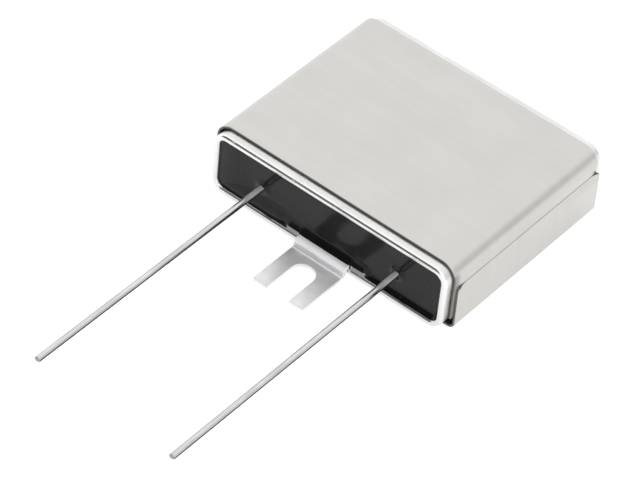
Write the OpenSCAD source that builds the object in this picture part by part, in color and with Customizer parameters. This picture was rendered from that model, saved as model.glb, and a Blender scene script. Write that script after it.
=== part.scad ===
// Flat electrolytic capacitor: a sealed aluminium can in a wrapped steel sleeve, closed
// at its front by a black potting that holds two wire leads and a slotted mounting tab.
// X runs across the can, Y along it with the leads towards -Y, and Z up. The origin is
// under the middle of the can, on the sleeve's bottom face.

/* [Can] */
// Width of the can
can_w = 44.45; // [34:0.05:70]
// Thickness of the can, between its two broad faces
can_h = 11.6; // [9.5:0.1:20]
// Length of the can, from the rim to the closed end
can_l = 38.1; // [30:0.1:80]
// Outer corner radius of the can's section
can_corner_r = 2.4; // [2.2:0.1:4]
// Thickness of the rim: the can's wall and the flange of its cover, welded together
rim_w = 1.05; // [1:0.05:1.6]
// Rounding of the rim's inner and outer edge
rim_edge_r = 0.45; // [0.1:0.05:0.45]
// Depth of the pocket inside the rim, down to the cover
pocket_depth = 3.6; // [3.2:0.1:6]
// Rounding of the can's closed end
end_edge_r = 0.5; // [0.3:0.1:1.8]

/* [Potting] */
// How far the potting's flat face lies behind the rim
face_depth = 1; // [0.8:0.05:1.5]
// Radius of the meniscus where the potting climbs the pocket's wall
wall_meniscus_r = 0.55; // [0.3:0.05:0.75]
// Radius of the meniscus where the potting climbs a lead
lead_meniscus_r = 0.6; // [0.4:0.05:0.75]

/* [Leads] */
// Diameter of the lead wire
lead_d = 1.02; // [0.6:0.01:1.6]
// Distance between the two leads
lead_pitch = 26; // [18:0.1:30]
// Height of the leads above the can's bottom face
lead_height = 5.3; // [4.4:0.1:6.5]
// Length of the negative lead in front of the rim
negative_lead_l = 48.3; // [12:0.1:60]
// Length of the positive lead in front of the rim
positive_lead_l = 49; // [12:0.1:60]
// How much wider than the wire its welded root in the potting is, on each side
root_extra = 0.25; // [0.2:0.01:0.3]

/* [Sleeve] */
// Thickness of the sleeve's sheet
sheet_t = 0.4; // [0.25:0.05:0.6]
// Length of the sleeve along the can
sleeve_l = 34.8; // [25:0.1:36]
// How far the can's rim stands out of the sleeve
rim_reach = 1.8; // [1:0.1:3]
// Gap between the can's broad faces and the sleeve
face_gap = 0.05; // [0.02:0.01:0.2]
// Gap between the can's right side and the sleeve's inner layer
right_gap = 0.05; // [0.02:0.01:0.3]
// Gap between the can's left side and the sleeve
left_gap = 0.45; // [0.1:0.05:0.6]
// Outer radius of the two loose bends on the left
loose_bend_r = 2.6; // [1.6:0.1:3]
// Outer radius of the bend from the bottom up to the flap
flap_bend_r = 2.6; // [1.6:0.1:3]
// Gap between the inner layer and the flap, at the flap's bend
lap_gap = 0.1; // [0.05:0.05:0.6]
// The same gap at the flap's free edge, where it springs against the inner layer
edge_gap = 0.05; // [0.02:0.01:0.1]
// Height of the flap's free edge above the sleeve's bottom face
flap_h = 8.6; // [6:0.05:9.6]
// Rounding of the flap's two free corners
flap_corner_r = 1; // [0.2:0.1:2]
// How far the flap lies behind the top, because the strip is wrapped slightly askew
flap_shift = 0.5; // [0.1:0.1:0.8]
// How far the inner layer's free edge stays above the flap's bend
inner_edge_rise = 0.4; // [0.1:0.1:2]

/* [Mounting tab] */
// Thickness of the tab's strip
tab_t = 0.64; // [0.4:0.02:0.8]
// Width of the tab
tab_w = 9.6; // [8:0.1:14]
// Reach of the tab in front of the rim
tab_reach = 10.3; // [9.5:0.1:16]
// Width of the slot, open towards the front
slot_w = 4.2; // [3:0.1:5]
// Depth of the slot, from the tab's tips to the end of its round
slot_depth = 7.6; // [5:0.1:7.8]
// Inner radius of the tab's two bends
bend_r = 0.3; // [0.15:0.05:0.35]
// Gap between the rim's front and the tab's riser
riser_gap = 0.4; // [0.1:0.05:0.6]
// Width of the foot, the wide root of the tab that the potting holds
foot_w = 15.4; // [12:0.1:20]
// How far the foot's front edge lies behind the rim
foot_setback = 0.3; // [0.1:0.05:0.5]
// Length of the foot
foot_l = 2.7; // [1.5:0.1:3.2]
// Rounding of the foot's corners
foot_corner_r = 0.6; // [0.2:0.1:1]

/* [Hidden] */
$fn = 64;
// How far a cutter runs past what it cuts
over = 0.5;
// What the meniscus leaves over the edge of a lead's root
root_cover = 0.03;

// The can stands on the sleeve's bottom sheet
can_x = can_w/2;
can_z0 = sheet_t + face_gap;
can_z1 = can_z0 + can_h;
rim_y = -can_l/2;
end_y = can_l/2;

// The pocket inside the rim, and the potting's face in it
pocket_x = can_x - rim_w;
pocket_z0 = can_z0 + rim_w;
pocket_z1 = can_z1 - rim_w;
pocket_r = can_corner_r - rim_w;
cover_y = rim_y + pocket_depth;
face_y = rim_y + face_depth;

// The can's core reaches this far past the centres of the corners, into the border
core_corner = (can_corner_r - end_edge_r)/2;

// The leads: a root ends where the meniscus is just wider than it is
lead_z = can_z0 + lead_height;
root_step = lead_meniscus_r - root_extra - root_cover;
root_y = face_y - lead_meniscus_r + sqrt(pow(lead_meniscus_r, 2) - pow(root_step, 2));

// The sleeve: the outer faces of its left side, its top, its inner layer and its flap
sleeve_left = -can_x - left_gap - sheet_t;
sleeve_top = can_z1 + face_gap + sheet_t;
inner_layer = can_x + right_gap + sheet_t;
flap = inner_layer + lap_gap + sheet_t;
sleeve_y0 = rim_y + rim_reach;
sleeve_y1 = sleeve_y0 + sleeve_l;
flap_y0 = sleeve_y0 + flap_shift;
flap_y1 = sleeve_y1 + flap_shift;

// The flat run of the sleeve's bottom, between its loose bend and the flap's bend
bottom_x0 = sleeve_left + loose_bend_r;
bottom_x1 = flap - flap_bend_r;

// The snug bend follows the can's corner, and the inner layer ends above the flap's bend
snug_bend_r = can_corner_r + face_gap + sheet_t;
flap_bend_in = flap_bend_r - sheet_t;
flap_bend_drop = sqrt(pow(flap_bend_in, 2) - pow(flap_bend_in - lap_gap, 2));
inner_edge_z = flap_bend_r - flap_bend_drop + inner_edge_rise;

// The tab: the foot lies on the pocket's floor, the riser hangs in front of the rim
foot_y = rim_y + foot_setback;
foot_top = pocket_z0 + tab_t;
riser_back = rim_y - riser_gap;
riser_front = riser_back - tab_t;
tip_y = rim_y - tab_reach;
slot_centre_y = tip_y + slot_depth - slot_w/2;

// On the tab's neck the potting climbs forward to where the neck bends down
neck_meniscus_r = face_depth + riser_gap - bend_r;

// The tip of a square corner outside a quarter circle, growing to +X and +Y
module corner_fill(r) {
    difference() {
        square(r);
        translate([r, r]) circle(r);
    }
}

// The same, run out past the corner, to round an outer corner
module corner_waste(r) {
    difference() {
        translate([-over, -over]) square(r + over);
        translate([r, r]) circle(r);
    }
}

// A rectangle from [x0, y0] to [x1, y1] with its four corners rounded
module rounded_rect(x0, x1, y0, y1, r) {
    difference() {
        translate([x0, y0]) square([x1 - x0, y1 - y0]);
        translate([x0, y0]) corner_waste(r);
        translate([x1, y0]) rotate(90) corner_waste(r);
        translate([x1, y1]) rotate(180) corner_waste(r);
        translate([x0, y1]) rotate(270) corner_waste(r);
    }
}

// A section drawn in X and Z, carried along Y
module along_y(y0, y1) {
    translate([0, y1, 0]) rotate([90, 0, 0]) linear_extrude(y1 - y0) children();
}

// A section drawn in Y and Z, carried along X
module along_x(x0, x1) {
    translate([x0, 0, 0]) rotate([90, 0, 90]) linear_extrude(x1 - x0) children();
}

// A profile carried once round a rounded rectangle that stands in the X-Z plane. The
// profile's x counts outwards from the centre of a corner and its y runs along +Y.
module around(x0, x1, z0, z1, r) {
    centres = [[x1 - r, z0 + r], [x1 - r, z1 - r], [x0 + r, z1 - r], [x0 + r, z0 + r]];
    for (side = [0:3]) {
        from = centres[side];
        to = centres[(side + 1) % 4];
        translate([from[0], 0, from[1]]) rotate([0, -90*side, 0])
            linear_extrude(norm(to - from)) children();
        translate([to[0], 0, to[1]]) rotate([0, -90*side, 0]) rotate([90, 0, 0])
            rotate_extrude(angle = 90) mirror([0, 1]) children();
    }
}

// The section of the pocket inside the rim
module pocket_section() {
    rounded_rect(-pocket_x, pocket_x, pocket_z0, pocket_z1, pocket_r);
}

// The can's border in profile: the rim with its two rounded edges, and behind the cover
// the full depth to the closed end, whose edge is rounded too
module can_profile() {
    difference() {
        union() {
            translate([pocket_r, rim_y]) square([rim_w, pocket_depth + over]);
            translate([core_corner/2, cover_y])
                square([can_corner_r - core_corner/2, end_y - cover_y]);
        }
        translate([pocket_r, rim_y]) corner_waste(rim_edge_r);
        translate([can_corner_r, rim_y]) rotate(90) corner_waste(rim_edge_r);
        translate([can_corner_r, end_y]) rotate(180) corner_waste(end_edge_r);
    }
}

// The sealed can with its cover and what it holds: one solid, its border and a core
module can() {
    core_inset = can_corner_r - core_corner;
    color("gainsboro") {
        around(-can_x, can_x, can_z0, can_z1, can_corner_r) can_profile();
        translate([core_inset - can_x, cover_y, can_z0 + core_inset])
            cube([can_w - 2*core_inset, end_y - cover_y, can_h - 2*core_inset]);
    }
}

// The concave ring where the potting climbs the pocket's wall
module wall_meniscus() {
    around(-pocket_x, pocket_x, pocket_z0, pocket_z1, pocket_r)
        translate([pocket_r, face_y]) rotate(180) corner_fill(wall_meniscus_r);
}

// The concave ring where the potting climbs a lead
module lead_meniscus() {
    translate([0, face_y, lead_z]) rotate([90, 0, 0]) rotate_extrude()
        translate([lead_d/2, 0]) corner_fill(lead_meniscus_r);
}

// A concave strip where the potting climbs the top of the tab's foot or neck
module tab_meniscus(width, r) {
    along_x(-width/2, width/2)
        translate([face_y, foot_top]) rotate(90) corner_fill(r);
}

// The potting, cast round the leads and the tab's foot
module potting() {
    color("#303030") difference() {
        union() {
            along_y(face_y, cover_y) pocket_section();
            wall_meniscus();
            tab_meniscus(foot_w, wall_meniscus_r);
            tab_meniscus(tab_w, neck_meniscus_r);
            for (side = [-1, 1]) translate([side*lead_pitch/2, 0, 0]) lead_meniscus();
        }
        for (side = [-1, 1]) translate([side*lead_pitch/2, 0, 0]) lead(over, over);
        foot();
    }
}

// A straight wire and its root, which stands on the cover; behind runs it on into the cover
module lead(reach, behind = 0) {
    translate([0, cover_y + behind, lead_z]) rotate([90, 0, 0])
        cylinder(d = lead_d + 2*root_extra, h = cover_y + behind - root_y);
    translate([0, root_y, lead_z]) rotate([90, 0, 0])
        cylinder(d = lead_d, h = root_y - rim_y + reach);
}

module negative_lead() {
    color("silver") translate([-lead_pitch/2, 0, 0]) lead(negative_lead_l);
}

module positive_lead() {
    color("silver") translate([lead_pitch/2, 0, 0]) lead(positive_lead_l);
}

// A quarter of a bend in the sheet, turned from the first quadrant
module bend(x, z, r, turn) {
    translate([x, z]) rotate(turn) difference() {
        intersection() {
            circle(r);
            square(r);
        }
        circle(r - sheet_t);
    }
}

// A straight run of the sheet
module run(x0, x1, z0, z1) {
    translate([x0, z0]) square([x1 - x0, z1 - z0]);
}

// The sleeve is one sheet. Its upper part runs from the inner layer's edge on the right,
// over the top and down the left
module upper_section() {
    left = bottom_x0;
    right = inner_layer - snug_bend_r;
    run(inner_layer - sheet_t, inner_layer, inner_edge_z, sleeve_top - snug_bend_r);
    bend(right, sleeve_top - snug_bend_r, snug_bend_r, 0);
    run(left, right, sleeve_top - sheet_t, sleeve_top);
    bend(left, sleeve_top - loose_bend_r, loose_bend_r, 90);
    run(sleeve_left, sleeve_left + sheet_t, loose_bend_r, sleeve_top - loose_bend_r);
    bend(left, loose_bend_r, loose_bend_r, 180);
}

// Its lower part goes on along the bottom and up to the flap's edge on the right
module lower_section() {
    flap_in = flap - sheet_t;
    run(bottom_x0, bottom_x1, 0, sheet_t);
    bend(bottom_x1, flap_bend_r, flap_bend_r, 270);
    polygon([[flap_in, flap_bend_r], [flap, flap_bend_r],
             [inner_layer + edge_gap + sheet_t, flap_h], [inner_layer + edge_gap, flap_h]]);
}

// The lower part seen from above: the bottom runs askew, and the flap square behind it
module askew_plan() {
    x2 = flap + over;
    polygon([[bottom_x0, sleeve_y0], [bottom_x1, flap_y0], [x2, flap_y0],
             [x2, flap_y1], [bottom_x1, flap_y1], [bottom_x0, sleeve_y1]]);
}

// The sleeve, with the two free corners of its flap rounded
module outer_sleeve() {
    color("lightgray") difference() {
        union() {
            along_y(sleeve_y0, sleeve_y1) upper_section();
            intersection() {
                along_y(sleeve_y0, flap_y1) lower_section();
                translate([0, 0, -over]) linear_extrude(flap_h + 2*over) askew_plan();
            }
        }
        along_x(inner_layer + edge_gap/2, flap + over) {
            translate([flap_y0, flap_h]) rotate(270) corner_waste(flap_corner_r);
            translate([flap_y1, flap_h]) rotate(180) corner_waste(flap_corner_r);
        }
    }
}

// The wide foot, flat on the pocket's floor
module foot() {
    translate([0, 0, pocket_z0]) linear_extrude(tab_t)
        rounded_rect(-foot_w/2, foot_w/2, foot_y, foot_y + foot_l, foot_corner_r);
}

// The tab's side view: over the rim, down its front and forward along the floor
module tab_profile() {
    outer_r = bend_r + tab_t;
    difference() {
        union() {
            translate([riser_front, pocket_z0]) square([foot_y + foot_l/2 - riser_front, tab_t]);
            translate([riser_front, 0]) square([tab_t, foot_top]);
            translate([tip_y, 0]) square([riser_back - tip_y, tab_t]);
            translate([riser_back, pocket_z0]) rotate(270) corner_fill(bend_r);
            translate([riser_front, tab_t]) rotate(90) corner_fill(bend_r);
        }
        translate([riser_front, foot_top]) rotate(270) corner_waste(outer_r);
        translate([riser_back, 0]) rotate(90) corner_waste(outer_r);
    }
}

// The steel tab with its open slot
module mounting_tab() {
    color("darkgray") difference() {
        union() {
            foot();
            along_x(-tab_w/2, tab_w/2) tab_profile();
        }
        translate([0, slot_centre_y, -over]) cylinder(d = slot_w, h = tab_t + 2*over);
        translate([-slot_w/2, tip_y - over, -over])
            cube([slot_w, slot_centre_y - tip_y + over, tab_t + 2*over]);
    }
}

can();
potting();
negative_lead();
positive_lead();
outer_sleeve();
mounting_tab();
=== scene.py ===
"""Flat electrolytic capacitor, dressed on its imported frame.

The script gives each piece of the part its fine shape and its finish, and sets up the floor,
the light and the camera. Properties are in metres. Shapes are worked out in mm, and the
named values for them are in mm too, with counts, shares and angles beside them.
"""

import math

import bmesh
import bpy
import numpy as np
from mathutils import Matrix, Vector


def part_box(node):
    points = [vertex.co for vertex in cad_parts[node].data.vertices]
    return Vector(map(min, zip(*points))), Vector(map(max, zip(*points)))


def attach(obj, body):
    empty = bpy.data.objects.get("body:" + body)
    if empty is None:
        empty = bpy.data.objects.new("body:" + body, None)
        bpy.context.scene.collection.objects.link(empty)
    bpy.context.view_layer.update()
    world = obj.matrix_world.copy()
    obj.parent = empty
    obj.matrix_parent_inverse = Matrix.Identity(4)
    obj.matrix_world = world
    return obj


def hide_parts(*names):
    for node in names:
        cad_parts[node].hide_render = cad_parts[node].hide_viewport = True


bl_info = {
    "name": "Flat capacitor dressing",
    "version": (1, 0, 0),
    "blender": (4, 5, 0),
    "location": "View3D > Sidebar > Capacitor",
    "description": "Finishes a flat electrolytic capacitor and lights it in a small studio",
    "category": "Object",
}

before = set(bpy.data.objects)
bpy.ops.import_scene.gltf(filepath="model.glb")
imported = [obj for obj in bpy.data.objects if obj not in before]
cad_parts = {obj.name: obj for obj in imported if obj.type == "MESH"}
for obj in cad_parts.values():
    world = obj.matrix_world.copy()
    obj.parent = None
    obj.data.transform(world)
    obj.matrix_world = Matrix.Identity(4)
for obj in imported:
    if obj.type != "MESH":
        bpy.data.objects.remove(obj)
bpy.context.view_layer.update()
MM = 0.001


def node_box(name):
    """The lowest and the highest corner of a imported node, in mm."""
    low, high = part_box(name)
    return np.array(low) / MM, np.array(high) / MM


CAN_LOW, CAN_HIGH = node_box("can")
SLEEVE_LOW, SLEEVE_HIGH = node_box("outer_sleeve")
POT_LOW, POT_HIGH = node_box("potting")
TAB_HIGH = node_box("mounting_tab")[1]
LEADS = ("negative_lead", "positive_lead")
# The plane of the rim's front
FRONT = CAN_LOW[1]
# Radius of the leads' wire, thickness of the tab and half the width of its neck
WIRE_RADIUS = 0.51
TAB_THICKNESS = 0.64
NECK = 4.8


# Shapes


def smooth(value, low, high):
    """0 at low and 1 at high, with 3 t^2 - 2 t^3 between."""
    t = np.clip((value - low) / (high - low), 0.0, 1.0)
    return t * t * (3.0 - 2.0 * t)


def ripple(x, y, waves):
    """A slow unevenness from -1 to 1: the mean of sines, one for each (per mm, per mm, phase)."""
    total = sum(np.sin(a * x + b * y + phase) for a, b, phase in waves)
    return total / len(waves)


def quarter(radius, distance):
    """What a round of this radius takes off at a distance from the edge: the gap between
    the corner and a circle that touches both its sides."""
    inside = np.clip(radius - distance, 0.0, radius)
    return radius - np.sqrt(radius * radius - inside * inside)


def rounds(centre, radius, start, end, steps):
    """Points on an arc: centre + radius (cos a, sin a), with a in degrees from start to end."""
    a = np.radians(np.linspace(start, end, steps + 1))
    return np.stack((centre[0] + radius * np.cos(a), centre[1] + radius * np.sin(a)), -1)


def quads(index):
    """One quad between each four neighbours of a grid of vertex numbers."""
    return np.stack((index[:-1, :-1], index[1:, :-1], index[1:, 1:], index[:-1, 1:]),
                    -1).reshape(-1, 4).tolist()


def round_quads(shape):
    """The quads of a grid of points whose rows are closed rings."""
    index = np.arange(shape[0] * shape[1]).reshape(shape[:2])
    return quads(np.hstack((index, index[:, :1])))


def build(name, points, faces, cut=None):
    """A smooth, closed piece from points in mm. Points that coincide, as at a pole or along a
    seam, become one, and the faces are turned outwards. The attribute cut, where it is given,
    is 0 on plain plated metal, 1 on bare metal and between them on plated metal that is darkened."""
    mesh = bpy.data.meshes.new(name)
    mesh.from_pydata((points.reshape(-1, 3) * MM).tolist(), [], faces)
    if cut is not None:
        mesh.attributes.new("cut", "FLOAT", "POINT").data.foreach_set("value", cut.ravel())
    shell = bmesh.new()
    shell.from_mesh(mesh)
    bmesh.ops.remove_doubles(shell, verts=shell.verts, dist=2e-7)
    bmesh.ops.recalc_face_normals(shell, faces=shell.faces)
    shell.to_mesh(mesh)
    shell.free()
    mesh.shade_smooth()
    piece = bpy.data.objects.new(name, mesh)
    bpy.context.scene.collection.objects.link(piece)
    return piece


def settle(piece, node, material):
    """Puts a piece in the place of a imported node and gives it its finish."""
    wear(piece, material)
    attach(piece, "root")
    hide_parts(node)


# Shader tools


class Socket:
    """An output socket that adds Math nodes when it is used in a Python expression."""

    def __init__(self, sheet, output):
        self.sheet = sheet
        self.output = output

    def math(self, operation, *others):
        """One Math node on this value and the others."""
        return self.sheet.node("ShaderNodeMath", {"operation": operation},
                               dict(enumerate((self, *others))))

    def __add__(self, other):
        return self.math("ADD", other)

    def __sub__(self, other):
        return self.math("SUBTRACT", other)

    def __mul__(self, other):
        return self.math("MULTIPLY", other)

    def __rsub__(self, other):
        return self.math("MULTIPLY_ADD", -1.0, other)

    __radd__ = __add__
    __rmul__ = __mul__

    def clamp(self):
        """The value held between 0 and 1."""
        return self.sheet.node("ShaderNodeClamp", {}, {"Value": self})

    def ramp(self, low, high):
        """0 at low and 1 at high, with a smooth step between."""
        return self.sheet.node("ShaderNodeMapRange", {"interpolation_type": "SMOOTHSTEP"},
                               {"Value": self, "From Min": low, "From Max": high})


class ShaderSheet:
    """The node tree of a new material, or of a world, filled through one method."""

    def __init__(self, name="", world=None):
        self.material = world or bpy.data.materials.new(name)
        self.material.use_nodes = True
        self.tree = self.material.node_tree
        self.tree.nodes.clear()

    def node(self, kind, settings=None, inputs=None, output=0):
        """Adds a node, sets its settings and then its sockets, and returns one output."""
        made = self.tree.nodes.new(kind)
        for key, value in (settings or {}).items():
            setattr(made, key, value)
        for key, value in (inputs or {}).items():
            if isinstance(value, Socket):
                self.tree.links.new(value.output, made.inputs[key])
            else:
                made.inputs[key].default_value = value
        return Socket(self, made.outputs[output]) if made.outputs else None

    def place(self):
        """The point on the object, in metres."""
        return self.node("ShaderNodeTexCoord", output="Object")

    def axis(self, letter):
        """One coordinate of the point on the object, in metres."""
        return self.node("ShaderNodeSeparateXYZ", {}, {"Vector": self.place()}, output=letter)

    def fade(self, letter, low, high):
        """0 where a coordinate is low and 1 where it is high, both in mm."""
        return self.axis(letter).ramp(low * MM, high * MM)

    def noise(self, scale, detail=2.0, roughness=0.5, turn=(0.0, 0.0, 0.0)):
        """Noise from 0 to 1, with scale in cells per metre along each axis."""
        point = self.node("ShaderNodeMapping", {}, {"Vector": self.place(), "Scale": scale,
                                                    "Rotation": turn})
        return self.node("ShaderNodeTexNoise", {"normalize": True},
                         {"Vector": point, "Scale": 1.0, "Detail": detail,
                          "Roughness": roughness})

    def scratches(self, scale, turn, rarity):
        """Thin lines, 1 on the line: the ridges of a noise that is drawn out along one axis,
        in the patches where a coarser noise is above rarity."""
        width, patch_edge = 0.012, 0.08
        ridge = (self.noise(scale, 1.0, 0.4, turn) - 0.5).math("ABSOLUTE").ramp(width, 0.0)
        patch = self.noise((260.0, 260.0, 260.0), 1.0, 0.5).ramp(rarity, rarity + patch_edge)
        return ridge * patch

    def mix(self, factor, low, high):
        """A colour between low and high. Sockets 6 and 7 and output 2 are the colour ones."""
        return self.node("ShaderNodeMix", {"data_type": "RGBA"},
                         {"Factor": factor, 6: low, 7: high}, output=2)

    def bump(self, height, distance, strength=1.0, normal=None):
        """The normal of a surface raised by height times distance, on top of another normal."""
        inputs = {"Height": height, "Distance": distance, "Strength": strength}
        if normal is not None:
            inputs["Normal"] = normal
        return self.node("ShaderNodeBump", {}, inputs)

    def finish(self, inputs):
        """Ends the tree in a Principled shader with these sockets and returns the material."""
        shader = self.node("ShaderNodeBsdfPrincipled", {}, inputs)
        self.node("ShaderNodeOutputMaterial", {}, {"Surface": shader})
        return self.material


def rgb(colour, factor=1.0):
    """A colour property, made darker or lighter by a factor, as a socket takes it."""
    return (colour[0] * factor, colour[1] * factor, colour[2] * factor, 1.0)


def wear(obj, material):
    """Puts one material in every slot of an object."""
    if not obj.data.materials:
        obj.data.materials.append(material)
    for slot in obj.material_slots:
        slot.material = material


# The can


# Spacing of the points on the section's straight sides
SIDE_STEP = 0.8
# Steps of the rim's and the end's arcs, rows along the wall and rows across the closed end
ARC_STEPS, WALL_ROWS, END_ROWS = 12, 30, 11
# How far from an edge or an arc the next row lies, at the cover, the rim and the closed end
COVER_HOLD, RIM_HOLD, END_HOLD = 0.1, 0.03, 0.05
# The weld's finish starts this far behind the rim's front, and is full at the second distance
WELD_START, WELD_FULL = 0.7, 0.45


class CapacitorCan(bpy.types.PropertyGroup):
    """The aluminium can."""

    corner: bpy.props.FloatProperty(
        name="Corner", description="Outer corner radius of the can's section",
        default=2.4 * MM, unit="LENGTH")
    rim: bpy.props.FloatProperty(
        name="Rim", description="Thickness of the rim", default=1.05 * MM, unit="LENGTH")
    rim_edge: bpy.props.FloatProperty(
        name="Rim edge", description="Rounding of the rim's two edges",
        default=0.45 * MM, unit="LENGTH")
    end_edge: bpy.props.FloatProperty(
        name="End edge", description="Rounding of the closed end",
        default=0.5 * MM, unit="LENGTH")
    dish: bpy.props.FloatProperty(
        name="Dish", description="How far the closed end is drawn in at its middle",
        default=0.12 * MM, unit="LENGTH")
    colour: bpy.props.FloatVectorProperty(
        name="Colour", description="Colour of the drawn aluminium",
        default=(0.60, 0.60, 0.59), subtype="COLOR", min=0.0, max=1.0)
    roughness: bpy.props.FloatProperty(
        name="Roughness", description="Roughness of the drawn aluminium",
        default=0.30, min=0.0, max=1.0, subtype="FACTOR")


def outline(inset, corner, steps=14):
    """A rounded rectangle in X and Z, the can's section moved inwards by inset: four arcs
    round the corners' centres, with points on the straight sides between them."""
    low, high = CAN_LOW[[0, 2]] + corner, CAN_HIGH[[0, 2]] - corner
    centres = ((high[0], low[1]), (high[0], high[1]), (low[0], high[1]), (low[0], low[1]))
    parts = []
    for side, centre in enumerate(centres):
        parts.append(rounds(centre, corner - inset, -90 + 90 * side, 90 * side, steps))
        after = rounds(centres[(side + 1) % 4], corner - inset, 90 * side, 90 * side, 0)[0]
        count = int(np.linalg.norm(after - parts[-1][-1]) / SIDE_STEP)
        share = np.arange(1, count)[:, None] / count
        parts.append(parts[-1][-1] + (after - parts[-1][-1]) * share)
    return np.concatenate(parts)


def can_profile(settings):
    """The can's wall in profile, as rows of inset, y and how far the row is drawn in towards
    the middle line (0 on the wall, 1 on the line): the cover, the pocket's wall, the rounded
    rim, the outside and the closed end."""
    rim, edge, end = settings.rim / MM, settings.rim_edge / MM, settings.end_edge / MM
    cover, back = POT_HIGH[1], CAN_HIGH[1]
    rows = [(rim, cover, 1.0), (rim, cover, 0.5), (rim, cover, 0.0),
            (rim, cover - COVER_HOLD, 0.0), (rim, FRONT + 2 * edge, 0.0),
            (rim, FRONT + edge + RIM_HOLD, 0.0)]
    wall = np.linspace(FRONT + edge + RIM_HOLD, back - end - END_HOLD, WALL_ROWS)
    outside = np.concatenate((
        rounds((rim - edge, FRONT + edge), edge, 0, -90, ARC_STEPS),
        rounds((edge, FRONT + edge), edge, -90, -180, ARC_STEPS),
        np.stack((np.zeros(WALL_ROWS), wall), -1),
        rounds((end, back - end), end, 180, 90, ARC_STEPS)))
    rows += [(x, y, 0.0) for x, y in outside]
    share = np.linspace(0.0, 1.0, END_ROWS + 1)[1:]
    sunk = settings.dish / MM * smooth(share, 0.0, 1.0)
    rows += list(zip(np.full(END_ROWS, end), back - sunk, share))
    return np.array(rows)


def can_surface(settings):
    """The profile carried round the can's section. A row that is drawn in by f keeps
    x (1 - f) + f clip(x) and z (1 - f), so that it ends on the section's middle line."""
    corner = settings.corner / MM
    middle = (CAN_LOW[2] + CAN_HIGH[2]) / 2
    reach = CAN_HIGH[0] - (CAN_HIGH[2] - middle)
    rows = []
    for inset, y, drawn in can_profile(settings):
        ring = outline(inset, corner)
        x = ring[:, 0] * (1 - drawn) + np.clip(ring[:, 0], -reach, reach) * drawn
        z = middle + (ring[:, 1] - middle) * (1 - drawn)
        rows.append(np.stack((x, np.full(len(x), y), z), -1))
    points = np.array(rows)
    return points, round_quads(points.shape)


def drawn_aluminium(settings):
    """Aluminium with the fine lines of deep drawing along Y and a smoother, welded rim."""
    sheet = ShaderSheet("drawn aluminium")
    lines = sheet.noise((9000.0, 160.0, 9000.0), 2.0, 0.6)
    cloud = sheet.noise((180.0, 90.0, 180.0), 3.0, 0.55)
    scratch = sheet.scratches((300.0, 5200.0, 300.0), (0.2, 0.35, 0.5), 0.56)
    front = sheet.fade("Y", FRONT + WELD_START, FRONT + WELD_FULL)
    weld = sheet.noise((900.0, 900.0, 900.0), 2.0, 0.5)
    colour = sheet.mix(cloud.ramp(0.35, 0.7), rgb(settings.colour, 0.95),
                       rgb(settings.colour, 1.05))
    colour = sheet.mix(front, colour, rgb(settings.colour, 1.15))
    rough = (cloud * 0.08 + lines * 0.08 + settings.roughness - 0.07
             - front * 0.12 - scratch * 0.08)
    normal = sheet.bump(lines * (1.0 - front), 0.004 * MM)
    normal = sheet.bump(front * weld - scratch, 0.012 * MM, normal=normal)
    return sheet.finish({"Base Color": colour, "Metallic": 1.0, "Roughness": rough,
                         "Normal": normal})


class CAPACITOR_OT_can(bpy.types.Operator):
    """Adds the can with its welded rim and its drawn end"""

    bl_idname = "capacitor.can"
    bl_label = "Can"

    def execute(self, context):
        settings = context.scene.capacitor_can
        piece = build("can_shell", *can_surface(settings))
        settle(piece, "can", drawn_aluminium(settings))
        return {"FINISHED"}


# The sleeve


# Distance between stations on straight runs, degrees between them in bends, and their
# number on the flap
RUN_STEP, BEND_STEP, FLAP_STATIONS = 0.4, 5, 21
# The Z of the sheet's normals is below this on the bottom run alone
FACING_DOWN = -0.999
# Stations close to the strip's two free ends, as distances from the end
END_STATIONS = np.array([0.0, 0.008, 0.02, 0.04, 0.06, 0.08, 0.11, 0.16, 0.25, 0.35, 0.5, 0.7])
# Places of the points across the strip, from 0 at one edge to 1 at the other
ACROSS = np.concatenate(([0.0, 0.003], np.linspace(0.012, 0.988, 38), [0.997, 1.0]))
# A sheared edge: radius of its rolled-over outer corner and of its inner corner, the steps
# round each, and how far down the outer one the plating goes
ROLL, BURR, ROLL_STEPS, BURR_STEPS, PLATED = 0.11, 0.05, 5, 4, 0.07
# Rounding of the strip's two free ends, outside and inside
END_ROUND, END_BURR = 0.07, 0.01
# The burnish starts this far below the flap's edge, and is full this far in from its sides
BURNISH_HEIGHT, BURNISH_SIDE = 1.6, 1.0
# The flap's edge is bare this far down, up to the second distance from each side, and plated
# from the third
HOOK_DEPTH, HOOK_BARE, HOOK_PLATED = 0.1, 0.3, 0.9
# The strip of the inner layer that the askew flap leaves open fades out between these
# distances along the path and these across it, and takes this share of the bare edges' dark
# finish
OPEN_LENGTH, OPEN_WIDTH, OPEN_DARKENING = (8.0, 9.0), (0.5, 0.6), 0.7
# The sheet's slow waves, and the stretch of X over which they die out towards the flap
SHEET_WAVES = ((0.21, 0.13, 0.4), (-0.12, 0.34, 2.1), (0.4, -0.25, 4.0))
WAVES_FULL, WAVES_GONE = 19.0, 22.0


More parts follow.
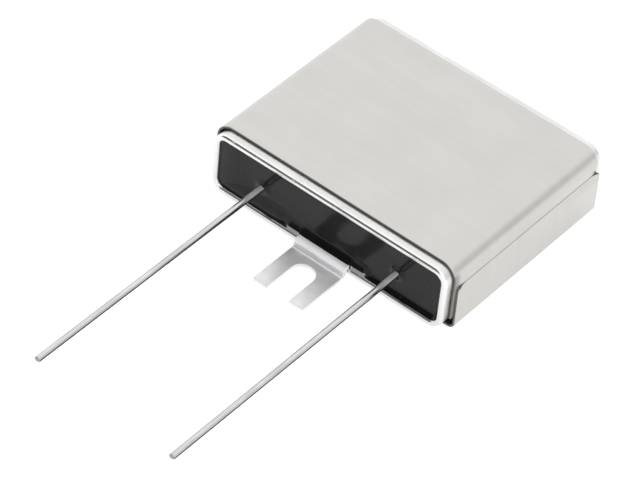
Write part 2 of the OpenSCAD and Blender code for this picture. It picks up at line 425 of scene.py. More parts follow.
class CapacitorSleeve(bpy.types.PropertyGroup):
    """The wrapped steel sleeve."""

    thickness: bpy.props.FloatProperty(
        name="Thickness", description="Thickness of the sheet",
        default=0.4 * MM, unit="LENGTH")
    snug_bend: bpy.props.FloatProperty(
        name="Snug bend", description="Outer radius of the bend that follows the can",
        default=2.85 * MM, unit="LENGTH")
    loose_bend: bpy.props.FloatProperty(
        name="Loose bends", description="Outer radius of the two bends on the left",
        default=2.9 * MM, unit="LENGTH")
    flap_bend: bpy.props.FloatProperty(
        name="Flap's bend", description="Outer radius of the bend up to the flap",
        default=1.3 * MM, unit="LENGTH")
    flap_height: bpy.props.FloatProperty(
        name="Flap's height", description="Height of the flap's burnished edge",
        default=8.3 * MM, unit="LENGTH")
    flap_corner: bpy.props.FloatProperty(
        name="Flap's corners", description="Rounding of the flap's two free corners",
        default=0.6 * MM, unit="LENGTH")
    askew: bpy.props.FloatProperty(
        name="Askew", description="How far the flap lies behind the top",
        default=0.5 * MM, unit="LENGTH")
    inner_edge: bpy.props.FloatProperty(
        name="Inner edge", description="Height of the inner layer's free edge",
        default=2.344 * MM, unit="LENGTH")
    lap_gap: bpy.props.FloatProperty(
        name="Lap gap", description="Gap between the inner layer and the flap, at its bend",
        default=0.1 * MM, unit="LENGTH")
    edge_gap: bpy.props.FloatProperty(
        name="Edge gap", description="The same gap at the flap's free edge",
        default=0.005 * MM, unit="LENGTH")
    burnish: bpy.props.FloatProperty(
        name="Burnish", description="Share of the thickness that is rubbed off the flap's edge",
        default=0.87, min=0.0, max=0.9, subtype="FACTOR")
    unevenness: bpy.props.FloatProperty(
        name="Unevenness", description="How deep the sheet's slow waves go",
        default=0.03 * MM, unit="LENGTH")
    colour: bpy.props.FloatVectorProperty(
        name="Colour", description="Colour of the plated sheet",
        default=(0.475, 0.468, 0.452), subtype="COLOR", min=0.0, max=1.0)
    edge_colour: bpy.props.FloatVectorProperty(
        name="Edge colour", description="Colour of the sheared, unplated edges",
        default=(0.14, 0.135, 0.12), subtype="COLOR", min=0.0, max=1.0)
    roughness: bpy.props.FloatProperty(
        name="Roughness", description="Roughness of the plated sheet",
        default=0.30, min=0.0, max=1.0, subtype="FACTOR")


def sheet_path(settings):
    """The middle line of the sheet in X and Z, and its outward normals: from the inner
    layer's edge up, over the top, down the left, along the bottom and up to the flap's edge,
    as straight runs between the arcs of four bends."""
    half = settings.thickness / MM / 2
    snug, loose, low = (settings.snug_bend / MM, settings.loose_bend / MM,
                        settings.flap_bend / MM)
    left, top, right = SLEEVE_LOW[0], SLEEVE_HIGH[2], SLEEVE_HIGH[0]
    layer = right - (settings.lap_gap + settings.thickness) / MM
    bends = (((layer - snug, top - snug), snug - half, 0, 90),
             ((left + loose, top - loose), loose - half, 90, 180),
             ((left + loose, loose), loose - half, 180, 270),
             ((right - low, low), low - half, 270, 360))
    points = [np.array([[layer - half, settings.inner_edge / MM]])]
    normals = [np.array([[1.0, 0.0]])]
    for centre, radius, start, end in bends:
        arc = rounds(centre, radius, start, end, (end - start) // BEND_STEP)
        count = max(2, int(np.linalg.norm(arc[0] - points[-1][-1]) / RUN_STEP))
        share = np.arange(1, count)[:, None] / count
        run = points[-1][-1] + (arc[0] - points[-1][-1]) * share
        points += [run, arc]
        normals += [np.repeat([normals[-1][-1]], len(run), 0), (arc - centre) / radius]
    foot = points[-1][-1]
    edge = np.array([layer + settings.edge_gap / MM + half, settings.flap_height / MM])
    share = np.linspace(0.0, 1.0, FLAP_STATIONS + 1)[1:, None]
    along = (edge - foot) / np.linalg.norm(edge - foot)
    points.append(foot + (edge - foot) * share)
    normals.append(np.repeat([[along[1], -along[0]]], FLAP_STATIONS, 0))
    return np.concatenate(points), np.concatenate(normals)


def refine(points, normals, distances):
    """Adds stations at some distances from both ends of a path, by linear steps, and returns
    each station's distance from the two ends as well."""
    length = np.concatenate(([0.0], np.cumsum(np.linalg.norm(np.diff(points, axis=0), axis=1))))
    whole = length[-1]
    at = np.unique(np.concatenate((length, distances, whole - distances)).round(6))
    pick = [np.interp(at, length, column) for column in (*points.T, *normals.T)]
    return np.stack(pick[:2], -1), np.stack(pick[2:], -1), at, whole - at


def sheared_edge(half):
    """The strip's edge in profile, as distances from the edge's plane and from the middle of
    the sheet: a quarter circle at the rolled-over outer corner and a small one at the inner."""
    profile = np.concatenate((rounds((ROLL, half - ROLL), ROLL, 90, 180, ROLL_STEPS),
                              rounds((BURR, BURR - half), BURR, 180, 270, BURR_STEPS)))
    return profile[1:-1].T


def sleeve_surface(settings):
    """A thin strip carried along the path. Each point is middle line + normal h + Y y, where
    y and h run round the strip's section: its outer face, a sheared edge, the inner face and
    the other edge. Along the bottom the strip moves back by askew. At the flap's corners y
    follows a quarter circle. h is scaled down by the burnish towards the flap's edge, falls
    off in a quarter circle at both free ends and is lowered by slow waves. The third result
    is 1 where the strip is bare: on its sheared sides and at the two ends of the flap's edge.
    On the strip that the flap leaves open it is raised in part, which darkens that strip."""
    half, corner, askew = (settings.thickness / MM / 2, settings.flap_corner / MM,
                           settings.askew / MM)
    points, normals, from_start, from_flap = refine(*sheet_path(settings), END_STATIONS)
    end = np.minimum(from_start, from_flap)[:, None]
    bottom = normals[:, 1] < FACING_DOWN
    shift = askew * np.interp(
        from_start, from_start[bottom], np.linspace(0.0, 1.0, bottom.sum()))
    start = (SLEEVE_LOW[1] + shift + quarter(corner, from_flap))[:, None]
    stop = (SLEEVE_HIGH[1] - askew + shift - quarter(corner, from_flap))[:, None]

    edge_y, edge_h = sheared_edge(half)
    y = np.hstack((start + ROLL + (stop - start - 2 * ROLL) * ACROSS[::-1], start + edge_y,
                   start + BURR + (stop - start - 2 * BURR) * ACROSS, stop - edge_y[::-1]))
    face, plain = np.full(len(ACROSS), half), np.zeros(len(ACROSS))
    h = np.concatenate((face, edge_h, -face, edge_h[::-1]))
    bare = edge_h < half - PLATED
    bare = np.concatenate((plain, bare, plain, bare[::-1]))

    side = np.minimum(y - start, stop - y)
    rubbed = smooth(from_flap, BURNISH_HEIGHT, 0.0)[:, None] * smooth(side, 0.0, BURNISH_SIDE)
    thin = 1.0 - settings.burnish * rubbed
    h = np.clip((h + half) * thin, quarter(END_BURR, end),
                2 * half * thin - quarter(END_ROUND, end))
    h[[0, -1]] = half * thin[[0, -1]]
    x, z = points[:, :1] + 0 * y, points[:, 1:] + 0 * y
    wave = 0.5 + 0.5 * ripple(x + 0.6 * z, y, SHEET_WAVES)
    h = h - half - settings.unevenness / MM * wave * smooth(x, WAVES_GONE, WAVES_FULL)
    grid = np.stack((x + normals[:, :1] * h, y, z + normals[:, 1:] * h), -1)

    hook = (from_flap < HOOK_DEPTH)[:, None] * smooth(side, HOOK_PLATED, HOOK_BARE)
    # The strip that the flap leaves open is darkened in part towards the bare edges' colour
    left_open = (smooth(from_start, *OPEN_LENGTH[::-1])[:, None]
                 * smooth(y - SLEEVE_LOW[1], *OPEN_WIDTH[::-1]))
    cut = np.maximum(np.maximum(bare, hook), OPEN_DARKENING * left_open)
    return grid, round_quads(grid.shape), cut


def rolled_steel(settings):
    """Plated steel sheet: faint rolling lines along the strip, handling marks and dull
    patches, and the dark places of the attribute cut: the bare edges and the darkened strip
    that the flap leaves open."""
    sheet = ShaderSheet("rolled steel")
    lines = sheet.noise((260.0, 8000.0, 260.0), 2.0, 0.6)
    streak = sheet.noise((40.0, 900.0, 40.0), 2.0, 0.5)
    cloud = sheet.noise((110.0, 110.0, 110.0), 3.0, 0.5)
    pits = sheet.noise((2600.0, 2600.0, 2600.0), 2.0, 0.6)
    scratch = sheet.scratches((330.0, 6000.0, 330.0), (0.0, 0.0, 0.5), 0.60)
    other = sheet.scratches((5200.0, 240.0, 5200.0), (0.0, 0.0, 0.3), 0.64)
    cut = sheet.node("ShaderNodeAttribute", {"attribute_name": "cut"}, output="Fac")
    colour = sheet.mix((cloud * 0.6 + streak * 0.4).ramp(0.3, 0.7),
                       rgb(settings.colour, 0.965), rgb(settings.colour, 1.03))
    colour = sheet.mix(cut, colour, rgb(settings.edge_colour))
    rough = (cloud * 0.12 + streak * 0.06 + settings.roughness - 0.09
             + cut * 0.3 - scratch * 0.05)
    normal = sheet.bump(lines * 0.6 + pits * 0.4, 0.004 * MM)
    normal = sheet.bump(scratch + other, 0.003 * MM, -1.0, normal)
    return sheet.finish({"Base Color": colour, "Metallic": 1.0 - cut * 0.8,
                         "Roughness": rough, "Normal": normal,
                         "Specular Tint": (0.93, 0.93, 0.93, 1.0)})


class CAPACITOR_OT_sleeve(bpy.types.Operator):
    """Adds the wrapped sleeve with its overlapping flap"""

    bl_idname = "capacitor.sleeve"
    bl_label = "Sleeve"

    def execute(self, context):
        settings = context.scene.capacitor_sleeve
        piece = build("wrapped_sleeve", *sleeve_surface(settings))
        settle(piece, "outer_sleeve", rolled_steel(settings))
        return {"FINISHED"}


# The potting


# Rows and columns of the resin's grid close to a wall, as distances from it
NEAR_WALL = np.array([0.0, 0.02, 0.05, 0.09, 0.14, 0.2, 0.27, 0.35])
# Even rows and columns start this far from a wall. They are closer together up to this
# height over the foot and this far from the sides, and after a gap the wider ones start
EVEN, OVER_FOOT, BY_SIDE, GAP = 0.43, 2.2, 1.0, 0.1
# How many: rows over the foot and above it, columns by each side and on to the middle
FOOT_ROWS, UPPER_ROWS, SIDE_COLUMNS, HALF_COLUMNS = 26, 62, 8, 190
# Places on the resin's face: the stretch of X, and of Z in the last two, where each fades in
RIGHT_HALF, RIGHT_WALL, LEFT_WALL = (-6.0, 6.0), (17.0, 20.0), (-15.0, -20.5)
BOTTOM_RIGHT, BOTTOM_LEFT = ((6.0, 10.5), (4.0, 2.5)), ((-7.0, -10.0), (4.5, 2.2))
# What a wall pulls up: its height everywhere and what three places add, and its reach as a
# multiple of the height
WALL_CLIMB, WALL_REACH = 0.14, 1.15
RIGHT_HALF_CLIMB, RIGHT_WALL_CLIMB, BOTTOM_RIGHT_CLIMB = 0.10, 0.28, 0.50
# Height and reach of what a lead, the foot and the neck pull up, with a power for the last two
LEAD_CLIMB = (0.36, 1.3)
FOOT_CLIMB, NECK_CLIMB = (0.62, 1.35, 1.3), (0.26, 2.0, 1.3)
# What the foot and the neck pull up fades out from outside to inside these offsets from
# their sides
FOOT_FADE, NECK_FADE = (1.0, -0.8), (0.7, -0.5)
# The resin's slow waves, and how far from a wall they are full
RESIN_WAVES = ((0.33, 0.5, 0.3), (-0.21, 0.9, 1.7), (0.8, 0.3, 3.9), (0.12, -1.3, 5.2))
WAVES_FROM_WALL = 1.5


class CapacitorPotting(bpy.types.PropertyGroup):
    """The black resin in the rim."""

    face: bpy.props.FloatProperty(
        name="Face", description="How far the resin's flat face lies behind the rim",
        default=1.0 * MM, unit="LENGTH")
    corner: bpy.props.FloatProperty(
        name="Corner", description="Corner radius of the pocket",
        default=1.35 * MM, unit="LENGTH")
    lift: bpy.props.FloatProperty(
        name="Lift", description="How much fuller the resin stands on the left",
        default=0.42 * MM, unit="LENGTH")
    unevenness: bpy.props.FloatProperty(
        name="Unevenness", description="How deep the resin's slow waves go",
        default=0.02 * MM, unit="LENGTH")
    colour: bpy.props.FloatVectorProperty(
        name="Colour", description="Colour of the resin",
        default=(0.0035, 0.0035, 0.004), subtype="COLOR", min=0.0, max=1.0)
    roughness: bpy.props.FloatProperty(
        name="Roughness", description="Roughness of the resin",
        default=0.15, min=0.0, max=1.0, subtype="FACTOR")


def climb(distance, height, reach, power=2.0):
    """How high the resin stands at a distance from a wall: height (1 - distance / reach)^power,
    and nothing past its reach."""
    return height * np.clip(1.0 - np.maximum(distance, 0.0) / reach, 0.0, 1.0) ** power


def pocket_grid(corner):
    """x and z of a grid over the pocket's rounded rectangle, and each point's distance from
    the nearest wall. Rows and columns lie closer together at the walls and over the foot, and
    each row is as wide as the corners' arcs leave it."""
    low, high = POT_LOW[[0, 2]], POT_HIGH[[0, 2]]
    foot = low[1] + OVER_FOOT
    z = np.concatenate((low[1] + NEAR_WALL, np.linspace(low[1] + EVEN, foot, FOOT_ROWS),
                        np.linspace(foot + GAP, high[1] - EVEN, UPPER_ROWS),
                        high[1] - NEAR_WALL[::-1]))
    side = np.concatenate((NEAR_WALL, np.linspace(EVEN, BY_SIDE, SIDE_COLUMNS)))
    span = np.linspace(low[0] + BY_SIDE + GAP, 0.0, HALF_COLUMNS)
    x = np.concatenate((low[0] + side, span, -span[-2::-1], high[0] - side[::-1]))
    deep = np.minimum(z - low[1], high[1] - z)
    width = high[0] - corner + np.sqrt(corner ** 2 - np.clip(corner - deep, 0, corner) ** 2)
    gx = x[None, :] / high[0] * width[:, None]
    gz = z[:, None] + 0.0 * gx
    middle = (low[1] + high[1]) / 2
    out = np.stack((np.abs(gx) - high[0] + corner,
                    np.abs(gz - middle) - high[1] + middle + corner))
    wall = corner - np.hypot(*np.maximum(out, 0.0)) - np.minimum(out.max(0), 0.0)
    return gx, gz, wall


def wall_rise(gx, gz, wall):
    """What the walls pull up: a low meniscus, a little higher on the right half, and highest
    along the bottom right and at the right wall."""
    bottom_right = smooth(gx, *BOTTOM_RIGHT[0]) * smooth(gz, *BOTTOM_RIGHT[1])
    right_wall = smooth(gx, *RIGHT_WALL) * (1.0 - bottom_right)
    height = (WALL_CLIMB + BOTTOM_RIGHT_CLIMB * bottom_right
              + RIGHT_HALF_CLIMB * smooth(gx, *RIGHT_HALF) + RIGHT_WALL_CLIMB * right_wall)
    return climb(wall, height, height * WALL_REACH)


def foot_rise(gx, gz):
    """What the tab's foot pulls up over its top, with more over the neck."""
    over = np.maximum(gz - POT_LOW[2] - TAB_THICKNESS, 0.0)
    foot = climb(over, *FOOT_CLIMB) * smooth(np.abs(gx) - TAB_HIGH[0], *FOOT_FADE)
    neck = climb(over, *NECK_CLIMB) * smooth(np.abs(gx) - NECK, *NECK_FADE)
    return foot + neck


def potting_surface(settings):
    """The resin's face over the pocket, y = face - full - rise + ripple. The rise is
    (a^3 + b^3 + c^3)^(1/3) over what the walls, the leads and the tab's foot pull up, and the
    resin is fuller by lift at the left wall and along the bottom left. A skirt and one flat
    face close it at the cover."""
    gx, gz, wall = pocket_grid(settings.corner / MM)
    rise = wall_rise(gx, gz, wall) ** 3 + foot_rise(gx, gz) ** 3
    for name in LEADS:
        lead_x, _, lead_z = np.mean(node_box(name), axis=0)
        ring = np.hypot(gx - lead_x, gz - lead_z) - WIRE_RADIUS
        rise = rise + climb(ring, *LEAD_CLIMB) ** 3
    bottom_left = smooth(gx, *BOTTOM_LEFT[0]) * smooth(gz, *BOTTOM_LEFT[1])
    full = settings.lift / MM * np.maximum(smooth(gx, *LEFT_WALL), bottom_left)
    wave = ripple(gx, gz, RESIN_WAVES) * smooth(wall, 0.0, WAVES_FROM_WALL)
    y = (FRONT + settings.face / MM - full - np.cbrt(rise)
         + settings.unevenness / MM * wave)
    grid = np.stack((gx, y, gz), -1)
    index = np.arange(gx.size).reshape(gx.shape)
    loop = np.concatenate((index[0, :-1], index[:-1, -1], index[-1, :0:-1], index[:0:-1, 0]))
    back = grid.reshape(-1, 3)[loop] * (1, 0, 1) + (0, POT_HIGH[1], 0)
    under = gx.size + np.arange(len(loop))
    skirt = quads(np.stack((np.append(loop, loop[0]), np.append(under, under[0]))))
    return np.concatenate((grid.reshape(-1, 3), back)), quads(index) + skirt + [under.tolist()]


def cast_resin(settings):
    """Black glossy resin with a faint flow pattern and specks of dust."""
    sheet = ShaderSheet("cast resin")
    flow = sheet.noise((240.0, 240.0, 520.0), 3.0, 0.55)
    peel = sheet.noise((1500.0, 1500.0, 1500.0), 2.0, 0.5)
    dust = sheet.noise((5200.0, 5200.0, 5200.0), 1.0, 0.5).ramp(0.73, 0.78)
    dust_colour = (0.10, 0.10, 0.095, 1.0)
    colour = sheet.mix(flow.ramp(0.4, 0.7), rgb(settings.colour), rgb(settings.colour, 1.7))
    colour = sheet.mix(dust, colour, dust_colour)
    rough = flow * 0.06 + peel * 0.03 + settings.roughness - 0.04 + dust * 0.3
    normal = sheet.bump(flow * 0.8 + peel * 0.08, 0.02 * MM)
    return sheet.finish({"Base Color": colour, "Roughness": rough, "Normal": normal,
                         "IOR": 1.40, "Specular IOR Level": 0.31})


class CAPACITOR_OT_potting(bpy.types.Operator):
    """Adds the resin, which climbs at the walls, the leads and the tab's foot"""

    bl_idname = "capacitor.potting"
    bl_label = "Potting"

    def execute(self, context):
        settings = context.scene.capacitor_potting
        piece = build("resin_fill", *potting_surface(settings))
        settle(piece, "potting", cast_resin(settings))
        return {"FINISHED"}


# The leads


# A root gives way to the wire this far behind the rim's front
ROOT_END = 0.9
# Rows along the wire and degrees between its columns. The rows start this far in front of
# the root and end this far behind the tip
WIRE_ROWS, WIRE_TURN = 60, 10
AFTER_ROOT, BEFORE_TIP = 0.05, 0.4
# Rounding of the tip, and the rows on it, as distances from the tip
TIP_ROUND = 0.06
TIP_ROWS = np.array([TIP_ROUND, 0.04, 0.025, 0.012, 0.004, 0.0])
# The wire is slightly out of round: its radius varies by twice this share
OUT_OF_ROUND = 0.006
# Which way the cut slants, in radians, and how far behind the tip the slant has faded out
SLANT_TURN, SLANT_FADE = 0.8, 0.35
# Where the finish changes: grey cut from the tip, dull root in front of the rim, and painted
# shade on the underside from the axis, each as distances of the start and of the full effect
CUT_FADE, ROOT_FADE, UNDERSIDE_SHADE_FADE = (0.22, 0.12), (-6.0, -1.5), (0.28, 0.08)


class CapacitorLeads(bpy.types.PropertyGroup):
    """The two wire leads."""

    diameter: bpy.props.FloatProperty(
        name="Diameter", description="Diameter of the wire",
        default=2 * WIRE_RADIUS * MM, unit="LENGTH")
    shear: bpy.props.FloatProperty(
        name="Shear", description="How far the cut at the tip slants",
        default=0.16 * MM, unit="LENGTH")
    colour: bpy.props.FloatVectorProperty(
        name="Colour", description="Colour of the tinned wire",
        default=(0.50, 0.50, 0.49), subtype="COLOR", min=0.0, max=1.0)
    roughness: bpy.props.FloatProperty(
        name="Roughness", description="Roughness of the tinned wire",
        default=0.15, min=0.0, max=1.0, subtype="FACTOR")


def lead_surface(node, settings):
    """A wire along -Y: x and z are the axis + r(y) (cos a, sin a). The radius is the root's up
    to the resin and the wire's after it, less a little that goes with sin(0.9 y + 2 cos a).
    It falls off in a small quarter circle at the tip, where the cut slants by
    shear (1 + r / wire cos(a + turn)) / 2."""
    low, high = node_box(node)
    centre, root, wire = (low + high) / 2, (high[0] - low[0]) / 2, settings.diameter / MM / 2
    step, tip = FRONT + ROOT_END, low[1]
    y = np.concatenate(([high[1], high[1], step, step],
                        np.linspace(step - AFTER_ROOT, tip + BEFORE_TIP, WIRE_ROWS),
                        tip + TIP_ROWS, [tip, tip]))
    r = np.concatenate(([0.0, root, root, wire], np.full(WIRE_ROWS, wire),
                        wire - quarter(TIP_ROUND, TIP_ROWS), [wire * 0.5, 0.0]))
    around = np.radians(np.arange(0, 360, WIRE_TURN))
    wave = np.sin(0.9 * y[:, None] + 2.0 * np.cos(around))
    r = r[:, None] * (1.0 - OUT_OF_ROUND * (1.0 + wave))
    slant = settings.shear / MM * (1.0 + r / wire * np.cos(around + SLANT_TURN)) / 2
    y = y[:, None] + slant * smooth(y, tip + SLANT_FADE, tip)[:, None]
    points = np.stack((centre[0] + r * np.cos(around), y, centre[2] + r * np.sin(around)), -1)
    return points, round_quads(points.shape)


def tinned_wire(name, axis, tip, settings):
    """Tinned wire with die lines along Y and dull patches, with painted shade on its underside,
    dull near its root, and with a coarse grey cut at the tip."""
    sheet = ShaderSheet(name)
    lines = sheet.noise((7000.0, 90.0, 7000.0), 2.0, 0.6)
    patch = sheet.noise((900.0, 200.0, 900.0), 3.0, 0.6)
    grit = sheet.noise((6000.0, 6000.0, 6000.0), 2.0, 0.6)
    cut = sheet.fade("Y", tip + CUT_FADE[0], tip + CUT_FADE[1])
    root = sheet.fade("Y", FRONT + ROOT_FADE[0], FRONT + ROOT_FADE[1])
    # Painted shade: the wire below its axis is darkened
    under = sheet.fade("Z", axis + UNDERSIDE_SHADE_FADE[0], axis + UNDERSIDE_SHADE_FADE[1])
    colour = sheet.mix(patch.ramp(0.3, 0.75), rgb(settings.colour, 0.88),
                       rgb(settings.colour, 1.1))
    colour = sheet.mix(root, colour, rgb(settings.colour, 1.5))
    # Painted shade on the underside: the colour falls to a tenth of the wire's
    colour = sheet.mix(under, colour, rgb(settings.colour, 0.1))
    colour = sheet.mix(cut, colour, rgb(settings.colour, 0.7))
    rough = patch * 0.12 + lines * 0.05 + settings.roughness - 0.07 + cut * 0.25
    normal = sheet.bump(lines * 0.7 + cut * grit, 0.008 * MM)
    return sheet.finish({"Base Color": colour, "Metallic": 1.0 - root * 0.5,
                         "Roughness": rough, "Normal": normal,
                         "Specular Tint": (0.2, 0.2, 0.2, 1.0)})


class CAPACITOR_OT_leads(bpy.types.Operator):
    """Adds the two wire leads with their sheared tips"""

    bl_idname = "capacitor.leads"
    bl_label = "Leads"

    def execute(self, context):
        settings = context.scene.capacitor_leads
        for node in LEADS:
            piece = build(node + "_wire", *lead_surface(node, settings))
            low, high = node_box(node)
            material = tinned_wire("tinned " + node, (low[2] + high[2]) / 2, low[1], settings)
            settle(piece, node, material)
        return {"FINISHED"}


# The tab


# Angles in degrees below which a face counts as flat, and above which an edge is rounded,
# and the steps of its rounding
FLAT_ANGLE, SHARP_ANGLE, EDGE_STEPS = 0.3, 50, 3
# Where the finish changes, each as distances of the start and of the full effect: the painted
# highlight on the bend over the rim, from the tab's top, the clean neck from its sides, with
# stained ends beyond them, and the front and the back of the painted highlight along the crease
# in front of the rim
BEND_HIGHLIGHT_FADE, CLEAN_FADE = (-0.85, -0.45), (0.5, 0.1)
CREASE_HIGHLIGHT_FRONT, CREASE_HIGHLIGHT_BACK = (-1.56, -1.44), (-1.18, -1.30)


class CapacitorTab(bpy.types.PropertyGroup):
    """The stamped mounting tab."""

    edge: bpy.props.FloatProperty(
        name="Edge", description="Rounding of the stamped edges",
        default=0.07 * MM, unit="LENGTH")
    colour: bpy.props.FloatVectorProperty(
        name="Colour", description="Colour of the stamped steel",
        default=(0.75, 0.75, 0.76), subtype="COLOR", min=0.0, max=1.0)
    roughness: bpy.props.FloatProperty(
        name="Roughness", description="Roughness of the stamped steel",
        default=0.38, min=0.0, max=1.0, subtype="FACTOR")


def stamped_copy(name, node, edge):
    """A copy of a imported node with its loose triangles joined, its flat faces made whole and
    its sharp edges rounded by a bevel."""
    mesh = bpy.data.meshes.new(name)
    shell = bmesh.new()
    shell.from_mesh(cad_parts[node].data)
    bmesh.ops.remove_doubles(shell, verts=shell.verts, dist=1e-6)
    bmesh.ops.dissolve_limit(shell, angle_limit=math.radians(FLAT_ANGLE), verts=shell.verts,
                             edges=shell.edges)
    shell.to_mesh(mesh)
    shell.free()
    mesh.shade_smooth()
    piece = bpy.data.objects.new(name, mesh)
    bpy.context.scene.collection.objects.link(piece)
    bevel = piece.modifiers.new("stamped edges", "BEVEL")
    bevel.width = edge
    bevel.segments = EDGE_STEPS
    bevel.limit_method = "ANGLE"
    bevel.angle_limit = math.radians(SHARP_ANGLE)
    bevel.harden_normals = True
    return piece


def stamped_steel(settings):
    """Bright steel strip: brushed along X, with fine pits and a few scratches, with a painted
    highlight where it is bent, over the rim and down to the plate, and darker on the foot's two
    ends, where resin has run over it."""
    sheet = ShaderSheet("stamped steel")
    brush = sheet.noise((160.0, 6500.0, 6500.0), 2.0, 0.6)
    cloud = sheet.noise((420.0, 420.0, 420.0), 3.0, 0.55)
    pits = sheet.noise((3800.0, 3800.0, 3800.0), 2.0, 0.6)
    scratch = sheet.scratches((420.0, 5200.0, 420.0), (0.0, 0.0, 0.7), 0.52)
    clean = sheet.axis("X").math("ABSOLUTE").ramp((NECK + CLEAN_FADE[0]) * MM,
                                                  (NECK + CLEAN_FADE[1]) * MM)
    # Painted highlight: the bend over the rim and the crease in front of it are made paler and
    # less metallic
    rim_bend_highlight = sheet.fade("Z", TAB_HIGH[2] + BEND_HIGHLIGHT_FADE[0], TAB_HIGH[2] + BEND_HIGHLIGHT_FADE[1])
    crease_highlight = (sheet.fade("Y", FRONT + CREASE_HIGHLIGHT_FRONT[0], FRONT + CREASE_HIGHLIGHT_FRONT[1])
              * sheet.fade("Y", FRONT + CREASE_HIGHLIGHT_BACK[0], FRONT + CREASE_HIGHLIGHT_BACK[1]))
    bend = (rim_bend_highlight * clean + crease_highlight).clamp()
    colour = sheet.mix(cloud.ramp(0.3, 0.7), rgb(settings.colour, 0.94),
                       rgb(settings.colour, 1.05))
    colour = sheet.mix(clean, rgb(settings.colour, 0.4), colour)
    # Painted highlight on the bends: the colour is made 1.3 times lighter
    colour = sheet.mix(bend, colour, rgb(settings.colour, 1.3))
    rough = cloud * 0.14 + pits * 0.06 + settings.roughness - 0.1 - scratch * 0.1
    normal = sheet.bump(brush * 1.2 + pits * 0.4, 0.012 * MM)
    normal = sheet.bump(scratch, 0.008 * MM, -1.0, normal)
    # The painted highlight also takes most of the metal off the bends
    return sheet.finish({"Base Color": colour, "Metallic": 0.42 - bend * 0.4,
                         "Roughness": rough, "Normal": normal})


class CAPACITOR_OT_tab(bpy.types.Operator):
    """Adds the slotted mounting tab with its rounded edges"""

    bl_idname = "capacitor.tab"
    bl_label = "Mounting tab"

    def execute(self, context):
        settings = context.scene.capacitor_tab
        piece = stamped_copy("stamped_tab", "mounting_tab", settings.edge)
        settle(piece, "mounting_tab", stamped_steel(settings))
        return {"FINISHED"}


# The studio


# Width of the camera's sensor in mm, and how far it sees and half the floor's width in metres
SENSOR, SIGHT, FLOOR = 36.0, 10.0, 3.0
# The tent's two uneven parts: the direction of the middle, and how far from it the fade
# starts and ends, in degrees
FRONT_LEFT = ((-0.416, -0.697, 0.584), 46, 30)
BACK_RIGHT = ((0.785, 0.584, 0.208), 30, 8)


class CapacitorStudio(bpy.types.PropertyGroup):
    """The camera, the floor and the light."""

    lens: bpy.props.FloatProperty(
        name="Lens", description="Focal length on a sensor 36 mm wide", default=194.54)
    azimuth: bpy.props.FloatProperty(
        name="Azimuth", description="How far right of the front the camera stands",
        default=math.radians(35.50), subtype="ANGLE")
    elevation: bpy.props.FloatProperty(
        name="Elevation", description="How steeply the camera looks down",
        default=math.radians(44.19), subtype="ANGLE")
    roll: bpy.props.FloatProperty(
        name="Roll", description="How far the camera is turned about its own axis",
        default=math.radians(6.06), subtype="ANGLE")
    distance: bpy.props.FloatProperty(
        name="Distance", description="From the camera to the point it looks at",
        default=0.5110, unit="LENGTH")
    target: bpy.props.FloatVectorProperty(
        name="Target", description="The point that the camera looks at",
        default=(-0.00007, -0.02008, 0.005), subtype="TRANSLATION")
    floor_colour: bpy.props.FloatVectorProperty(
        name="Floor colour", description="Colour of the floor",
        default=(0.75, 0.75, 0.75), subtype="COLOR", min=0.0, max=1.0)
    floor_glow: bpy.props.FloatProperty(
        name="Floor glow", description="Light that the floor gives off, as a light table does",
        default=0.6, min=0.0)
    light: bpy.props.FloatProperty(
        name="Light", description="Brightness of the white tent round the part",
        default=1.45, min=0.0)
    dark_side: bpy.props.FloatProperty(
        name="Dark side", description="Brightness of the tent's front left, against the rest",
        default=0.12, min=0.0)
    dim_side: bpy.props.FloatProperty(
        name="Dim side", description="Brightness of the tent's back right, against the rest",
        default=0.70, min=0.0)


def look(settings):
    """The camera's matrix: it stands on a sphere round the target and is rolled in place."""
    az, el = settings.azimuth, settings.elevation
    away = Vector((math.sin(az) * math.cos(el), -math.cos(az) * math.cos(el), math.sin(el)))
    level = Vector((0.0, 0.0, 1.0)).cross(away).normalized()
    rise = away.cross(level)
    right = level * math.cos(settings.roll) + rise * math.sin(settings.roll)
    up = away.cross(right)
    matrix = Matrix((right, up, away)).transposed().to_4x4()
    matrix.translation = Vector(settings.target) + away * settings.distance
    return matrix


def tent(settings):
    """A white tent all round, with a dark open side to the front left and a dimmer part to the
    back right. Each is a smooth step of the cosine between a direction and its middle."""
    world = bpy.data.worlds.new("tent")
    sheet = ShaderSheet(world=world)
    direction = sheet.node("ShaderNodeTexCoord", output="Generated")
    light = settings.light
    for (middle, outer, inner), level in ((FRONT_LEFT, settings.dark_side),
                                          (BACK_RIGHT, settings.dim_side)):
        near = sheet.node("ShaderNodeVectorMath", {"operation": "DOT_PRODUCT"},
                          {0: direction, 1: middle}, output="Value")
        step = near.ramp(math.cos(math.radians(outer)), math.cos(math.radians(inner)))
        light = (step * (level - 1.0) + 1.0) * light
    glow = sheet.node("ShaderNodeBackground", {}, {"Color": (1.0, 1.0, 1.0, 1.0),
                                                   "Strength": light})
    sheet.node("ShaderNodeOutputWorld", {}, {"Surface": glow})
    return world


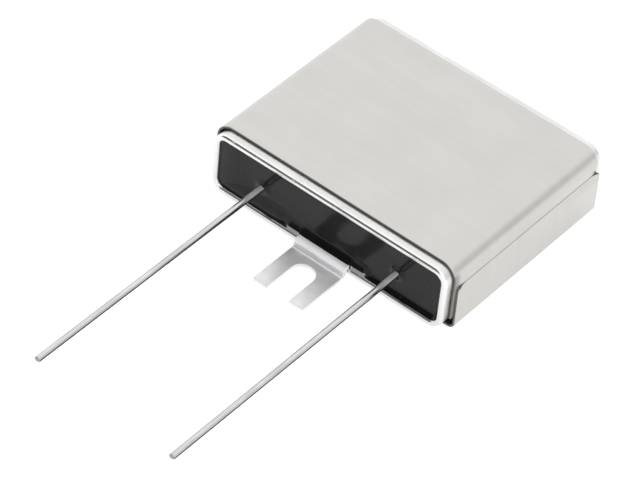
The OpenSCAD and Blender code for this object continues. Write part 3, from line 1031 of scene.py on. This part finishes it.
class CAPACITOR_OT_studio(bpy.types.Operator):
    """Adds the camera, the floor and the light"""

    bl_idname = "capacitor.studio"
    bl_label = "Studio"

    def execute(self, context):
        settings = context.scene.capacitor_studio
        camera = bpy.data.objects.new("camera", bpy.data.cameras.new("camera"))
        camera.data.lens = settings.lens
        camera.data.sensor_width = SENSOR
        camera.data.clip_end = SIGHT
        camera.matrix_world = look(settings)
        context.scene.collection.objects.link(camera)
        context.scene.camera = camera
        mesh = bpy.data.meshes.new("floor")
        mesh.from_pydata([(-FLOOR, -FLOOR, 0), (FLOOR, -FLOOR, 0), (FLOOR, FLOOR, 0),
                          (-FLOOR, FLOOR, 0)], [], [(0, 1, 2, 3)])
        floor = bpy.data.objects.new("floor", mesh)
        context.scene.collection.objects.link(floor)
        sheet = ShaderSheet("floor paper")
        wear(floor, sheet.finish({"Base Color": rgb(settings.floor_colour), "Roughness": 0.9,
                                  "Emission Color": (1.0, 1.0, 1.0, 1.0),
                                  "Emission Strength": settings.floor_glow}))
        context.scene.world = tent(settings)
        context.scene.view_settings.view_transform = "Standard"
        return {"FINISHED"}


class CAPACITOR_PT_sidebar(bpy.types.Panel):
    """Lists the steps in the order in which main runs them"""

    bl_idname = "CAPACITOR_PT_sidebar"
    bl_label = "Capacitor"
    bl_space_type = "VIEW_3D"
    bl_region_type = "UI"
    bl_category = "Capacitor"

    def draw(self, context):
        for step in GROUPS:
            self.layout.operator("capacitor." + step)
            settings = getattr(context.scene, "capacitor_" + step)
            box = self.layout.box()
            # The first two properties are Blender's own, on every group
            for key in settings.bl_rna.properties.keys()[2:]:
                box.prop(settings, key)


# The steps in the order in which they run, each with its settings
GROUPS = {"studio": CapacitorStudio, "can": CapacitorCan, "potting": CapacitorPotting,
          "leads": CapacitorLeads, "sleeve": CapacitorSleeve, "tab": CapacitorTab}
CLASSES = (*GROUPS.values(), CAPACITOR_OT_studio, CAPACITOR_OT_can, CAPACITOR_OT_potting,
           CAPACITOR_OT_leads, CAPACITOR_OT_sleeve, CAPACITOR_OT_tab, CAPACITOR_PT_sidebar)


def register():
    for cls in CLASSES:
        bpy.utils.register_class(cls)
    for name, group in GROUPS.items():
        setattr(bpy.types.Scene, "capacitor_" + name, bpy.props.PointerProperty(type=group))


def unregister():
    for name in GROUPS:
        delattr(bpy.types.Scene, "capacitor_" + name)
    for cls in reversed(CLASSES):
        bpy.utils.unregister_class(cls)


def main():
    register()
    for step in GROUPS:
        getattr(bpy.ops.capacitor, step)()


if __name__ == "__main__":
    main()
